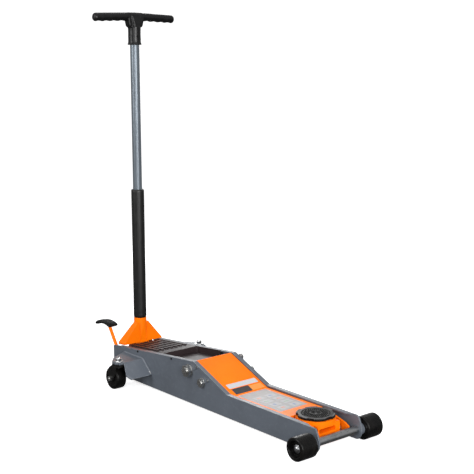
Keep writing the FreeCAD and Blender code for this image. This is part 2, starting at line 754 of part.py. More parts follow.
def saddle_yoke():
    """Level head that carries the saddle between the arm sides."""
    body = new_body("saddle_yoke")
    rear = D.yoke_x + 17
    pad(body, "block", "XZ", -45.0, 45.0, [rectangle(rear, -28.0, 27.0, 62.0)])
    shelf = [
        (D.yoke_x - 13, -65.6), (rear, -65.6), (rear, -D.arm_out), (-76.0, -D.arm_out),
        (-48.0, -45.0), (-30.0, -45.0), (-30.0, 45.0), (-48.0, 45.0), (-76.0, D.arm_out),
        (rear, D.arm_out), (rear, 65.6), (D.yoke_x - 13, 65.6),
    ]
    pad(body, "shelf", "XY", 61.0, 66.0, [shelf])
    pad(body, "seat", "XY", 62.0, 75.4, [(D.saddle_x, 0.0, 120.0)])
    pocket(body, "seat_flat", "XY", 60.0, 76.4, [rectangle(-160.0, D.yoke_x - 9, -70.0, 70.0)])
    for side, name in ((1, "left"), (-1, "right")):
        low, high = sided(side, 59.6, 65.6)
        ear = [(D.yoke_x - 9, 66.0), (D.yoke_x - 9, D.yoke_z - 8), (D.yoke_x + 9, D.yoke_z - 11),
               (D.yoke_x + 30, 61.0), (D.yoke_x + 30, 66.0)]
        pad(body, name + "_ear", "XZ", low, high, [ear])
        pad(body, name + "_ear_eye", "XZ", low, high, [(D.yoke_x, D.yoke_z, 24.0)])
        low, high = sided(side, D.arm_out - D.arm_thk, D.arm_out)
        cheek = [(rear, 66.0), (rear, 34.0), (-44.0, 26.0), (-22.0, 28.0), (-15.5, 35.0),
                 (-15.0, 44.5), (-28.0, 52.4), (-45.0, 57.5), (-62.0, 61.5), (-76.0, 66.0)]
        pad(body, name + "_cheek", "XZ", low, high, [cheek])
    pocket(body, "pin_holes", "XZ", -66.0, 66.0, [(D.yoke_x, D.yoke_z, 14.0)])
    pocket(body, "link_pin_hole", "XZ", -66.0, 66.0,
           [(D.yoke_x + D.link_dx, D.yoke_z + D.link_dz, 12.0)])
    pocket(body, "slot", "YZ", rear - 1, -27.0, [rectangle(-40.0, 26.0, 42.5, 56.0)])
    pocket(body, "stem_bore", "XY", 42.0, 76.0, [(D.saddle_x, 0.0, 24.2)])
    return body


def yoke_pins():
    """Pins between the arm sides and the yoke ears."""
    pins = []
    for side in (1, -1):
        body = new_body("yoke_pin", D.yoke_x, 0.0, D.yoke_z)
        low, high = sided(side, 56.6, 75.0)
        pad(body, "pin", "XZ", low, high, [(0.0, 0.0, 13.8)])
        low, high = sided(side, D.arm_out + 0.4, 75.0)
        pad(body, "head", "XZ", low, high, [(0.0, 0.0, 20.0)])
        pins.append(body)
    return compound("yoke_pins", pins)


def link_pin():
    """Cross pin that joins the level links to the yoke."""
    body = new_body("link_front_pin", D.yoke_x + D.link_dx, 0.0, D.yoke_z + D.link_dz)
    pad(body, "pin", "XZ", -62.0, 62.0, [(0.0, 0.0, 12.0)])
    return body


def level_links():
    """Cranked link bars that keep the saddle level."""
    bars = []
    front_x = D.yoke_x + D.link_dx
    front_z = D.yoke_z + D.link_dz
    for side in (1, -1):
        body = new_body("link_%s" % ("left" if side > 0 else "right"))
        low, high = sided(side, 49.0, 57.0)
        bar = [
            (D.anchor_x, D.anchor_z - 8), (D.anchor_x + 118, D.anchor_z - 44),
            (front_x, front_z - 6), (front_x, front_z + 6),
            (D.anchor_x + 124, D.anchor_z - 31), (D.anchor_x + 4, D.anchor_z + 9),
        ]
        pad(body, "bar", "XZ", low, high, [bar])
        pad(body, "rear_eye", "XZ", low, high, [(D.anchor_x, D.anchor_z, 30.0)])
        pad(body, "front_eye", "XZ", low, high, [(front_x, front_z, 21.0)])
        pocket(body, "bores", "XZ", low - 1, high + 1, [
            (D.anchor_x, D.anchor_z, D.anchor_dia + 0.15), (front_x, front_z, 12.15)])
        bars.append(body)
    return compound("level_links", bars)


def saddle():
    """Round castellated saddle with a stem turning in the yoke."""
    body = new_body("saddle", D.saddle_x, 0.0, 0.0)
    top, low = D.saddle_top, D.saddle_low
    points = [
        (0.0, 49.0), (12.0, 49.0), (12.0, low), (D.saddle_rad - 6, low),
        (D.saddle_rad, low + 2), (D.saddle_rad, top - 0.6), (D.saddle_rad - 0.6, top),
        (44.0, top), (42.0, top - 3.5), (0.0, top - 3.5),
    ]
    revolve(body, "disc", "XZ", points, "V_Axis")
    notch = [(53.0, -10.0), (62.0, -14.0), (62.0, 14.0), (53.0, 10.0)]
    cut = pocket(body, "notch", "XY", low - 1, top + 1, [notch])
    pattern = body.newObject("PartDesign::PolarPattern", "notches")
    pattern.Originals = [cut]
    for feature in body.Origin.OriginFeatures:
        if feature.Role == "Z_Axis":
            pattern.Axis = (feature, [""])
    pattern.Angle = 360.0
    pattern.Occurrences = 6
    body.Tip = pattern
    return body


def saddle_pad():
    """Rubber pad set into the saddle."""
    body = new_body("saddle_pad", D.saddle_x, 0.0, 0.0)
    low = D.saddle_top - 3.5
    points = [
        (0.0, low), (41.5, low), (41.5, low + 4), (40.5, low + 5), (17.0, low + 5),
        (16.0, low + 2), (0.0, low + 2),
    ]
    revolve(body, "disc", "XZ", points, "V_Axis")
    return body


def saddle_clip():
    """Retaining clip under the saddle stem."""
    body = new_body("saddle_clip", D.saddle_x, 0.0, 0.0)
    pad(body, "ring", "XY", 49.0, 51.0, [(0.0, 0.0, 32.0)])
    pocket(body, "bore", "XY", 49.0, 51.0, [(0.0, 0.0, 24.0)])
    return body


# ---------------------------------------------------------------- hydraulic unit

def pump_block():
    """Pump and valve block with two ears for the handle socket."""
    body = new_body("pump_block", D.hinge_x, 0.0, 0.0)
    pad(body, "block", "XY", 14.0, 62.0, [rectangle(-31.5, 53.0, -46.0, 46.0)])
    for side, name in ((1, "left"), (-1, "right")):
        low, high = sided(side, 31.0, 43.0)
        ear = [(-24.0, 60.0), (24.0, 60.0), (11.0, D.hinge_z), (-11.0, D.hinge_z)]
        pad(body, name + "_ear", "XZ", low, high, [ear])
        pad(body, name + "_eye", "XZ", low, high, [(0.0, D.hinge_z, 23.0)])
    pocket(body, "hinge_holes", "XZ", -44.0, 44.0, [(0.0, D.hinge_z, 14.0)])
    pocket(body, "plunger_bore", "XY", 28.0, 63.0, [(-22.0, 0.0, 12.2)])
    pocket(body, "valve_bore", "XY", 34.0, 63.0, [(0.0, 0.0, 10.2)])
    return body


def ram_cylinder():
    """Hollow ram cylinder in front of the pump block."""
    body = new_body("ram_cylinder", -935.0, 0.0, D.ram_z)
    pad(body, "barrel", "YZ", 0.0, 205.0, [(0.0, 0.0, 54.0)])
    pad(body, "gland", "YZ", 190.0, 210.0, [(0.0, 0.0, 58.0)])
    pocket(body, "bore", "YZ", 12.0, 211.0, [(0.0, 0.0, 28.2)])
    return body


def reservoir():
    """Oil tank above the ram."""
    body = new_body("oil_reservoir", -930.0, 0.0, D.ram_z + 27)
    pad(body, "tank", "XY", 0.0, 34.0, [rectangle(0.0, 130.0, -42.0, 42.0)])
    soften(body, "edges", ALONG_Z, [(0.0, 42.0, None), (0.0, -42.0, None),
                                    (130.0, 42.0, None), (130.0, -42.0, None)], 8.0)
    return body


def filler_plug():
    body = new_body("filler_plug", -860.0, 0.0, D.ram_z + 61)
    pad(body, "flange", "XY", 0.0, 2.0, [(0.0, 0.0, 18.0)])
    pad(body, "head", "XY", 2.0, 7.0, [hexagon(0.0, 0.0, 12.0)])
    return body


def ram_rod():
    """Ram rod, sliding in the cylinder."""
    return cylinder("ram_rod", 14.0, 231.0, -880.0, 0.0, D.ram_z, "X")


def ram_crosshead():
    """Flat pusher on the ram rod, just behind the lever roller."""
    dx, dz = lever_tip()
    front = D.pivot_x + dx - 13.2
    body = new_body("ram_crosshead", -649.0, 0.0, D.ram_z)
    pad(body, "head", "YZ", 0.0, front + 649.0, [rectangle(-20.0, 20.0, -13.0, 13.0)])
    return body


def pump_plunger():
    """Spring-up plunger pressed by the socket roller."""
    body = new_body("pump_plunger", D.hinge_x - 22, 0.0, 0.0)
    points = [(0.0, 54.0), (6.0, 54.0), (6.0, 86.0), (8.8, 86.0), (8.8, 88.4),
              (8.0, 89.2), (0.0, 89.2)]
    revolve(body, "stem", "XZ", points, "V_Axis")
    return body


def release_valve():
    """Valve spindle with a forked top under the handle."""
    body = new_body("release_valve", D.hinge_x, 0.0, 0.0)
    points = [(0.0, 36.0), (5.0, 36.0), (5.0, 86.0), (8.0, 89.0), (8.0, 102.0), (0.0, 102.0)]
    revolve(body, "spindle", "XZ", points, "V_Axis")
    pocket(body, "fork", "XY", 94.0, 103.0, [rectangle(-9.0, 9.0, -4.5, 4.5)])
    return body


# ---------------------------------------------------------------- handle

def socket_return(side):
    """Side wall of the socket flare, folded back along its sloping edge."""
    body = DOC.addObject("PartDesign::Body", "return_%s" % ("left" if side > 0 else "right"))
    rise = 190.0 - 122.0
    run = (D.flare_half - D.socket_dia / 2).value
    lean = math.degrees(math.atan2(run, rise))
    place(body, D.handle_x, side * D.flare_half, 122.0, ALONG_X, side * lean)
    low, high = sided(side, -4.0, 0.0)
    wall = [(-22.0, -1.0), (15.0, -1.0), (15.0, 89.0), (-6.0, 89.0)]
    pad(body, "wall", "XZ", low, high, [wall])
    return body


def handle_socket():
    """Socket tube with its wide flared front, side walls and roller lugs."""
    body = new_body("socket_core", D.handle_x, 0.0, 0.0)
    half = D.flare_half
    tube = D.socket_dia / 2
    pad(body, "tube", "XY", D.socket_low, D.socket_high, [(0.0, 0.0, D.socket_dia)])
    face = [
        (-half, 117.5), (half, 117.5), (half, 122.0), (tube, 190.0), (-tube, 190.0),
        (-half, 122.0),
    ]
    pad(body, "flare", "YZ", 14.0, 18.0, [face])
    for side, name in ((1, "left"), (-1, "right")):
        low, high = sided(side, half - 4, half)
        hem = [(-22.0, 113.5), (15.0, 117.5), (15.0, 123.0), (-22.0, 123.0)]
        pad(body, name + "_hem", "XZ", low, high, [hem])
        low, high = sided(side, 20.0, 28.5)
        cheek = [(-10.0, D.hinge_z), (14.0, D.hinge_z), (16.0, 150.0), (-12.0, 150.0)]
        pad(body, name + "_cheek", "XZ", low, high, [cheek])
        pad(body, name + "_eye", "XZ", low, high, [(2.0, D.hinge_z, 24.0)])
        low, high = sided(side, 9.5, 14.5)
        lug = [(-17.0, 128.0), (-36.0, 104.0), (-36.0, 93.0), (-24.0, 91.0), (-15.0, 112.0)]
        pad(body, name + "_lug", "XZ", low, high, [lug])
    bore = D.tube_dia + 0.2
    pocket(body, "tube_bore", "XY", 80.0, D.socket_high + 1, [(0.0, 0.0, bore)])
    fade = [(23.0, 176.0), (18.0, 126.0), (18.0, 100.0), (26.0, 100.0), (26.0, 176.0)]
    pocket(body, "tube_fade", "XZ", -23.0, 23.0, [fade])
    pocket(body, "hinge_bores", "XZ", -29.5, 29.5, [(2.0, D.hinge_z, 14.15)])
    pocket(body, "roller_hole", "XZ", -15.5, 15.5, [(-28.0, D.hinge_z - 6, 6.0)])
    return fuse("handle_socket", [body, socket_return(1), socket_return(-1)])


def socket_trunnions():
    """Headed pins in the ears that carry the socket."""
    pins = []
    for side in (1, -1):
        body = new_body("trunnion", D.hinge_x, 0.0, D.hinge_z)
        low, high = sided(side, 20.4, 43.0)
        pad(body, "pin", "XZ", low, high, [(0.0, 0.0, 14.0)])
        low, high = sided(side, 43.0, 47.0)
        pad(body, "head", "XZ", low, high, [(0.0, 0.0, 20.0)])
        pins.append(body)
    return compound("socket_trunnions", pins)


def pump_roller():
    """Roller on the socket lugs, over the plunger."""
    body = new_body("pump_roller", D.hinge_x - 30, 0.0, D.hinge_z - 6)
    pad(body, "pin", "XZ", -16.5, 16.5, [(0.0, 0.0, 6.0)])
    pad(body, "roller", "XZ", -9.0, 9.0, [(0.0, 0.0, 14.0)])
    return body


def handle_tube():
    body = new_body("handle_tube", D.handle_x, 0.0, 0.0)
    pad(body, "tube", "XY", D.tube_low, D.tube_high, [(0.0, 0.0, D.tube_dia)])
    pocket(body, "bore", "XY", D.tube_low, D.tube_high, [(0.0, 0.0, D.tube_dia - 5)])
    return body


def release_rod():
    """Plug in the foot of the handle with a ball-ended rod into the valve fork."""
    body = new_body("release_rod", D.hinge_x, 0.0, 0.0)
    plug = (D.tube_dia - 5) / 2
    shift = (D.hinge_x - D.handle_x).value
    pad(body, "plug", "XY", D.tube_low, D.tube_low + 14, [(-shift, 0.0, plug * 2)])
    points = [(0.0, 101.0), (1.8, 101.6), (3.0, 104.0), (2.5, 106.0), (2.5, D.tube_low + 5),
              (0.0, D.tube_low + 5)]
    revolve(body, "rod", "XZ", points, "V_Axis")
    return body


def foam_sleeve():
    body = new_body("foam_sleeve", D.handle_x, 0.0, 0.0)
    radius = D.foam_dia / 2
    bore = D.tube_dia / 2
    low, high = D.foam_low, D.foam_high
    points = [
        (bore, low), (radius - 3, low), (radius - 0.9, low + 0.9), (radius, low + 3),
        (radius, high - 2), (radius - 0.6, high - 0.6), (radius - 2, high), (bore, high),
    ]
    revolve(body, "sleeve", "XZ", points, "V_Axis")
    return body


def grip_arm(side):
    """One arm of the T grip, drooping slightly, with a domed end."""
    body = DOC.addObject("PartDesign::Body", "grip_arm_%s" % ("left" if side > 0 else "right"))
    droop = 1.9
    place(body, D.handle_x, 0.0, D.grip_z, ALONG_X, -side * (90.0 + droop))
    radius, reach = D.grip_dia / 2, D.grip_half
    points = [
        (0.0, 4.0), (radius, 4.0), (radius, reach - 9), (radius - 1, reach - 5),
        (radius - 3.5, reach - 2), (radius - 8, reach), (0.0, reach),
    ]
    revolve(body, "arm", "XZ", points, "V_Axis")
    return body


def t_grip():
    """Moulded T grip: collar, tapered hub and two arms."""
    x = D.handle_x
    body = new_body("grip_hub", x, 0.0, 0.0)
    pad(body, "block", "YZ", -16.0, 16.0, [[
        (-22.0, 1226.0), (22.0, 1226.0), (28.0, 1231.0), (31.0, 1250.0), (20.0, 1275.0),
        (-20.0, 1275.0), (-31.0, 1250.0), (-28.0, 1231.0),
    ]])
    collar = [
        (0.0, 1166.5), (24.5, 1166.5), (24.5, 1169.5), (22.3, 1172.0), (22.0, 1228.0),
        (0.0, 1228.0),
    ]
    revolve(body, "collar", "XZ", collar, "V_Axis")
    pocket(body, "tube_bore", "XY", 1166.0, D.tube_high, [(0.0, 0.0, D.tube_dia)])
    pocket(body, "screw_seat", "YZ", 20.5, 26.0, [(0.0, 1194.0, 14.0)])
    pocket(body, "screw_hole", "YZ", 15.0, 22.0, [(0.0, 1194.0, 6.0)])
    return fuse("t_grip", [body, grip_arm(1), grip_arm(-1)])


def grip_screw():
    """Round-headed screw sunk in the front of the grip collar."""
    body = new_body("grip_screw", D.handle_x, 0.0, 0.0)
    pad(body, "head", "YZ", 20.5, 23.2, [(0.0, 1194.0, 13.0)])
    pad(body, "shank", "YZ", 16.3, 20.6, [(0.0, 1194.0, 6.0)])
    return body


# ---------------------------------------------------------------- pedal

def pedal_lever():
    """Bent rod from the hinge tube up to the foot pad."""
    body = new_body("pedal_lever", D.pedal_x, D.pedal_y, D.pedal_z)
    low, high = -7.4, 8.0
    pad(body, "hub", "XZ", low, high, [(0.0, 0.0, 24.0)])
    pocket(body, "bore", "XZ", low - 1, high + 1, [(0.0, 0.0, 12.2)])
    lean = math.degrees(math.atan2(69.0, 104.0))
    rod = DOC.addObject("Part::Cylinder", "pedal_rod")
    rod.Radius = 6.0
    rod.Height = 112.0
    place(rod, D.pedal_x - 69.0 / 124.8 * 11.0, D.pedal_y, D.pedal_z + 104.0 / 124.8 * 11.0,
          FreeCAD.Vector(0, -1, 0), lean)
    return fuse("pedal_arm", [body, rod])


def pedal_pad():
    """Arched foot pad."""
    body = new_body("pedal_pad", -1096.0, D.pedal_y, 0.0)
    arch = [
        (-46.0, 163.0), (-30.0, 168.5), (-12.0, 172.5), (8.0, 174.0), (26.0, 172.5),
        (46.0, 167.5), (45.0, 178.5), (24.0, 185.0), (6.0, 187.0), (-14.0, 185.0),
        (-31.0, 180.5), (-45.0, 174.5),
    ]
    pad(body, "pad", "XZ", -21.0, 21.0, [arch])
    return body


def pedal_pivot():
    """Stub pin welded to the inner face of the right side plate."""
    body = new_body("pedal_pivot", D.pedal_x, 0.0, D.pedal_z)
    wall = -(D.plate_out - D.plate_thk)
    pad(body, "pin", "XZ", wall, D.pedal_y + 9, [(0.0, 0.0, 12.0)])
    pad(body, "head", "XZ", D.pedal_y + 8.4, D.pedal_y + 11, [(0.0, 0.0, 18.0)])
    return body


# ---------------------------------------------------------------- casters

def caster_fork(label, side):
    """Pressed swivel fork under the wing."""
    body = new_body(label, D.king_x, side * D.king_y, 0.0)
    top = D.wing_top - D.wing_thk - 4.4
    back = -D.caster_trail
    half = D.caster_wide / 2
    leg = [
        (16.0, top - 2), (-14.0, top - 2), (-27.0, 75.0), (back - 13, 56.0), (back - 11, 33.0),
        (back - 3, 25.0), (back + 8, 30.0), (14.0, 60.0),
    ]
    pad(body, "legs", "XZ", -half - 4.6, half + 4.6, [leg])
    inner = [(30.0, 20.0), (30.0, top - 5.2), (-40.0, top - 5.2), (-40.0, 20.0)]
    pocket(body, "gap", "XZ", -half - 1.4, half + 1.4, [inner])
    pad(body, "crown", "XY", top - 5.0, top, [(0.0, 0.0, 48.0)])
    pocket(body, "king_bore", "XY", top - 7.0, top + 1, [(0.0, 0.0, 12.2)])
    pocket(body, "axle_holes", "XZ", -half - 6, half + 6, [(back, D.caster_rad, 10.0)])
    return body


def caster_wheel(label, side):
    """Caster wheel with a dished face on both sides."""
    body = new_body(label, D.king_x - D.caster_trail, side * D.king_y, D.caster_rad)
    half = D.caster_wide / 2
    rad = D.caster_rad
    points = [
        (5.1, -half), (11.0, -half), (13.0, 4 - half), (24.0, 4 - half), (26.0, -half),
    ]
    points += shoulder(rad, half, 6.0, -1)
    points += reversed(shoulder(rad, half, 6.0, 1))
    points += [(26.0, half), (24.0, half - 4), (13.0, half - 4), (11.0, half), (5.1, half)]
    revolve(body, "tread", "XY", points, "V_Axis")
    return body


def caster_bolt(label, side):
    """Axle bolt with a head inboard and a nut outboard."""
    body = new_body(label, D.king_x - D.caster_trail, side * D.king_y, D.caster_rad)
    leg = D.caster_wide / 2 + 4.6
    low, high = sided(side, -leg - 5.4, leg + 8.4)
    pad(body, "shank", "XZ", low, high, [(0.0, 0.0, 10.0)])
    low, high = sided(side, leg, leg + 6.4)
    pad(body, "nut", "XZ", low, high, [hexagon(0.0, 0.0, 16.0)])
    low, high = sided(side, -leg - 5.4, -leg)
    pad(body, "head", "XZ", low, high, [hexagon(0.0, 0.0, 16.0)])
    return body


# ---------------------------------------------------------------- whole jack

def build():
    """Every node of the jack, by file name."""
    nodes = [
        side_plate("left_side_plate", 1), side_plate("right_side_plate", -1), tie_plates(),
        front_axle(), axle_caps(), wheel_spacers(),
        front_wheel("front_left_wheel", 1), front_wheel("front_right_wheel", -1),
        caster_wing("left_caster_wing", 1), caster_wing("right_caster_wing", -1),
        kingpin("left_kingpin", 1), kingpin("right_kingpin", -1), swivel_races(),
        deck_cover(), tool_tray(), deck_screws(),
        cross_shaft("lift_pivot_shaft", D.pivot_x, D.pivot_z, D.pivot_dia, 24.0, 19.0),
        shaft_nuts("lift_pivot_nuts", D.pivot_x, D.pivot_z, 36.0, 41.0, 13.0),
        cross_shaft("link_anchor_shaft", D.anchor_x, D.anchor_z, D.anchor_dia, 18.0, 13.0),
        shaft_nuts("link_anchor_nuts", D.anchor_x, D.anchor_z, 27.0, 31.0, 8.0),
        keeper_bolts(), pivot_spacers(),
        arm_side("lift_arm_left_side", 1), arm_side("lift_arm_right_side", -1), arm_cover(),
        arm_hub(), lift_levers(), ram_roller(),
        saddle_yoke(), yoke_pins(), link_pin(), level_links(),
        saddle(), saddle_pad(), saddle_clip(),
        pump_block(), ram_cylinder(), reservoir(), filler_plug(), ram_rod(),
        ram_crosshead(), pump_plunger(), release_valve(),
        handle_socket(), socket_trunnions(), pump_roller(), handle_tube(), release_rod(),
        foam_sleeve(), t_grip(), grip_screw(),
        pedal_lever(), pedal_pad(), pedal_pivot(),
        caster_fork("left_caster_fork", 1), caster_fork("right_caster_fork", -1),
        caster_wheel("left_caster_wheel", 1), caster_wheel("right_caster_wheel", -1),
        caster_bolt("left_caster_bolt", 1), caster_bolt("right_caster_bolt", -1),
    ]
    DOC.recompute()
    return nodes


def check_all(nodes):
    """Stop on any failed feature or bad shape."""
    for item in DOC.Objects:
        if "Invalid" in item.State or "Error" in item.State:
            raise RuntimeError("%s failed: %s" % (item.Label, item.State))
    for node in nodes:
        if node.Shape.isNull() or not node.Shape.isValid() or not node.Shape.Solids:
            raise RuntimeError("%s has a bad shape" % node.Label)


def export(nodes):
    os.makedirs("parts", exist_ok=True)
    for node in nodes:
        node.Shape.exportStep("parts/%s.step" % node.Label)


NODES = build()
check_all(NODES)
export(NODES)
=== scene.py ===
"""Looks of a long-chassis trolley jack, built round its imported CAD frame. Units are metres."""

import json
import math

import bmesh
import bpy
from mathutils import Matrix, Vector, noise

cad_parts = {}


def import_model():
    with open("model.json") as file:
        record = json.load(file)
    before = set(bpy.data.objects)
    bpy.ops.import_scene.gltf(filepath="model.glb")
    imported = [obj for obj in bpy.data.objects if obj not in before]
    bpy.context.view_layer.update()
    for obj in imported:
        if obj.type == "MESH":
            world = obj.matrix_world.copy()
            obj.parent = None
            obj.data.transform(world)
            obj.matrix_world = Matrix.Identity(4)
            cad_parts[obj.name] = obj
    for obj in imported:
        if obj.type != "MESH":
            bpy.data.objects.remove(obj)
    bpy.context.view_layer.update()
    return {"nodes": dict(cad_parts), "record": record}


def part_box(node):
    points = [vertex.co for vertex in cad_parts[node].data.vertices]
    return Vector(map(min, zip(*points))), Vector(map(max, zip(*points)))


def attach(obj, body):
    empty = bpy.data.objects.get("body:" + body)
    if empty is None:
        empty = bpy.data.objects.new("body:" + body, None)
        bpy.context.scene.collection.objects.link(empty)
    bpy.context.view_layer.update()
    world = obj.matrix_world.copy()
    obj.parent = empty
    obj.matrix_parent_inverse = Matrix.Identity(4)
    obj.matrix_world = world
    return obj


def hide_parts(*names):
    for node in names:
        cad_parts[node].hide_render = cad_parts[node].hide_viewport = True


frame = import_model()
NODES = frame["nodes"]
TAU = 2 * math.pi
MM = 0.001


def middle(node):
    """Centre of a CAD node's box at rest."""
    low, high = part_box(node)
    return [(a + b) / 2 for a, b in zip(low, high)]


AXLE_X = middle("front_axle")[0]
# The rest is in millimetres: x from the front axle, y from the middle plane and z from the floor.
HANDLE_X = (middle("foam_sleeve")[0] - AXLE_X) / MM
SADDLE_X = (middle("saddle_clip")[0] - AXLE_X) / MM
PIVOT_X = (middle("lift_pivot_nuts")[0] - AXLE_X) / MM
PIVOT_Z = middle("lift_pivot_nuts")[2] / MM
PAD_X = (middle("pedal_pad")[0] - AXLE_X) / MM
PAD_Y = middle("pedal_pad")[1] / MM
GRIP_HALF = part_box("t_grip")[1][1] / MM
GRIP_Z = 1262.0                         # where the arms of the grip start
PLATE_FACE = 89.0                       # outer face of a side plate
ANCHOR_X, ANCHOR_Z = -515.0, 91.0       # middle of the nuts on the level links' anchor
BEND_X, BEND_Z = -380, 74               # where the lift arm cover bends
SLOPE_RUN, SLOPE_RISE = 186.0, 76.0     # of the cover behind its bend
STICKER_THICK = 0.25


# ---------------------------------------------------------------- materials

class Graph:
    """A material's node tree, with short calls for the nodes that these finishes use."""

    def __init__(self, name):
        self.material = bpy.data.materials.new(name)
        self.material.use_nodes = True
        self.tree = self.material.node_tree
        self.shader = self.tree.nodes["Principled BSDF"]
        self.coords = self.tree.nodes.new("ShaderNodeTexCoord").outputs["Object"]

    def node(self, kind, **settings):
        made = self.tree.nodes.new(kind)
        for key, value in settings.items():
            setattr(made, key, value)
        return made

    def link(self, source, target):
        self.tree.links.new(source, target)

    def stretched(self, scale):
        """The object's coordinates, scaled differently along each axis."""
        mapping = self.node("ShaderNodeMapping")
        self.link(self.coords, mapping.inputs["Vector"])
        mapping.inputs["Scale"].default_value = scale
        return mapping.outputs["Vector"]

    def noise(self, scale, detail=3.0, rough=0.55, vector=None):
        made = self.node("ShaderNodeTexNoise")
        made.inputs["Scale"].default_value = scale
        made.inputs["Detail"].default_value = detail
        made.inputs["Roughness"].default_value = rough
        self.link(vector or self.coords, made.inputs["Vector"])
        return made.outputs["Fac"]

    def cells(self, scale):
        made = self.node("ShaderNodeTexVoronoi")
        made.inputs["Scale"].default_value = scale
        self.link(self.coords, made.inputs["Vector"])
        return made.outputs["Distance"]

    def between(self, value, low, high, start=0.0, end=1.0):
        """value mapped from low..high to start..end, and held there."""
        made = self.node("ShaderNodeMapRange")
        made.inputs["From Min"].default_value = low
        made.inputs["From Max"].default_value = high
        made.inputs["To Min"].default_value = start
        made.inputs["To Max"].default_value = end
        self.link(value, made.inputs["Value"])
        return made.outputs["Result"]

    def maths(self, operation, first, second):
        made = self.node("ShaderNodeMath", operation=operation)
        for socket, value in zip(made.inputs, (first, second)):
            if isinstance(value, (int, float)):
                socket.default_value = value
            else:
                self.link(value, socket)
        return made.outputs["Value"]

    def mix(self, factor, first, second):
        """first where factor is 0 and second where it is 1."""
        made = self.node("ShaderNodeMix", data_type="RGBA")
        self.link(factor, made.inputs[0])
        for socket, value in zip((made.inputs[6], made.inputs[7]), (first, second)):
            if isinstance(value, tuple):
                socket.default_value = (*value, 1.0)
            else:
                self.link(value, socket)
        return made.outputs[2]

    def edges(self, radius):
        """(rounded normal, how much it turns at the nearest edge)."""
        bevel = self.node("ShaderNodeBevel", samples=4)
        bevel.inputs["Radius"].default_value = radius
        geometry = self.node("ShaderNodeNewGeometry")
        dot = self.node("ShaderNodeVectorMath", operation="DOT_PRODUCT")
        self.link(bevel.outputs["Normal"], dot.inputs[0])
        self.link(geometry.outputs["Normal"], dot.inputs[1])
        turned = self.maths("SUBTRACT", 1.0, dot.outputs["Value"])
        return bevel.outputs["Normal"], turned

    def bump(self, height, strength, depth, normal=None):
        made = self.node("ShaderNodeBump")
        made.inputs["Strength"].default_value = strength
        made.inputs["Distance"].default_value = depth
        self.link(height, made.inputs["Height"])
        if normal is not None:
            self.link(normal, made.inputs["Normal"])
        return made.outputs["Normal"]


def shaded(colour, factor):
    """A colour made darker or lighter."""
    return tuple(min(1.0, c * factor) for c in colour)


def paint(name, colour, rough, worn, metal=0.0, peel=0.25, radius=0.0012, edge=0.5, gloss=0.5, dust=0.07,
          grain=(30.0, 260.0, 260.0)):
    """Painted metal: soft tone changes, orange peel, fine scuffs and rubbed edges."""
    g = Graph(name)
    rounded, turned = g.edges(radius)
    tone = g.between(g.noise(9.0, 4.0), 0.35, 0.65)
    base = g.mix(tone, shaded(colour, 0.92), shaded(colour, 1.06))
    dusty = g.between(g.noise(70.0, 5.0, 0.7), 0.52, 0.72, 0.0, dust)
    base = g.mix(dusty, base, shaded(worn, 0.8))
    rub = g.maths("MULTIPLY", g.between(turned, 0.02, 0.25),
                  g.between(g.noise(45.0, 4.0), 0.4, 0.6, 0.15, 1.0))
    rub = g.maths("MULTIPLY", rub, edge)
    g.link(g.mix(rub, base, worn), g.shader.inputs["Base Color"])
    scuffs = g.between(g.noise(1.0, 4.0, 0.6, g.stretched(grain)), 0.3, 0.75, -0.05, 0.1)
    g.link(g.maths("ADD", scuffs, rough), g.shader.inputs["Roughness"])
    g.link(g.bump(g.noise(420.0, 2.0), peel, 0.0002, rounded), g.shader.inputs["Normal"])
    g.shader.inputs["Metallic"].default_value = metal
    g.shader.inputs["Specular IOR Level"].default_value = gloss
    return g.material


def metal(name, colour, rough, stain, scale=(300.0, 300.0, 300.0), grain=0.2):
    """Bare or plated metal: fine grain, faint stains and bright edges."""
    g = Graph(name)
    rounded, turned = g.edges(0.0006)
    tone = g.between(g.noise(60.0, 5.0, 0.65), 0.4, 0.7)
    base = g.mix(tone, colour, stain)
    base = g.mix(g.between(turned, 0.03, 0.3, 0.0, 0.6), base, shaded(colour, 1.25))
    g.link(base, g.shader.inputs["Base Color"])
    lines = g.noise(1.0, 3.0, 0.6, g.stretched(scale))
    g.link(g.between(lines, 0.3, 0.7, rough - 0.07, rough + 0.1), g.shader.inputs["Roughness"])
    g.link(g.bump(lines, grain, 0.00015, rounded), g.shader.inputs["Normal"])
    g.shader.inputs["Metallic"].default_value = 1.0
    return g.material


def plastic(name, colour, rough, dust, grain_scale=900.0, grain=0.3, gloss=0.5):
    """Moulded plastic or rubber: fine moulded grain, dust in patches and greyed edges."""
    g = Graph(name)
    rounded, turned = g.edges(0.0008)
    patch = g.between(g.noise(35.0, 5.0, 0.7), 0.45, 0.75, 0.0, 0.35)
    base = g.mix(patch, colour, dust)
    base = g.mix(g.between(turned, 0.04, 0.3, 0.0, 0.35), base, shaded(dust, 1.5))
    g.link(base, g.shader.inputs["Base Color"])
    g.link(g.between(g.noise(80.0, 4.0), 0.35, 0.7, rough - 0.06, rough + 0.1), g.shader.inputs["Roughness"])
    g.link(g.bump(g.noise(grain_scale, 2.0), grain, 0.0002, rounded), g.shader.inputs["Normal"])
    g.shader.inputs["Specular IOR Level"].default_value = gloss
    return g.material


def foam(name, colour):
    """Closed-cell foam: fine pores painted darker as painted shade inside them, a soft sheen and faint grime.
    """
    g = Graph(name)
    pores = g.cells(900.0)
    patch = g.between(g.noise(22.0, 4.0, 0.65), 0.4, 0.75)
    base = g.mix(patch, colour, shaded(colour, 1.8))
    # Painted shade: the pores' colour is darkened as if shaded inside, on top of their real bump.
    base = g.mix(g.between(pores, 0.0, 0.35, 0.5, 0.0), base, shaded(colour, 0.4))
    g.link(base, g.shader.inputs["Base Color"])
    g.link(g.between(g.noise(60.0, 3.0), 0.3, 0.7, 0.34, 0.48), g.shader.inputs["Roughness"])
    g.link(g.bump(pores, 0.3, 0.0003), g.shader.inputs["Normal"])
    g.shader.inputs["Specular IOR Level"].default_value = 0.4
    return g.material


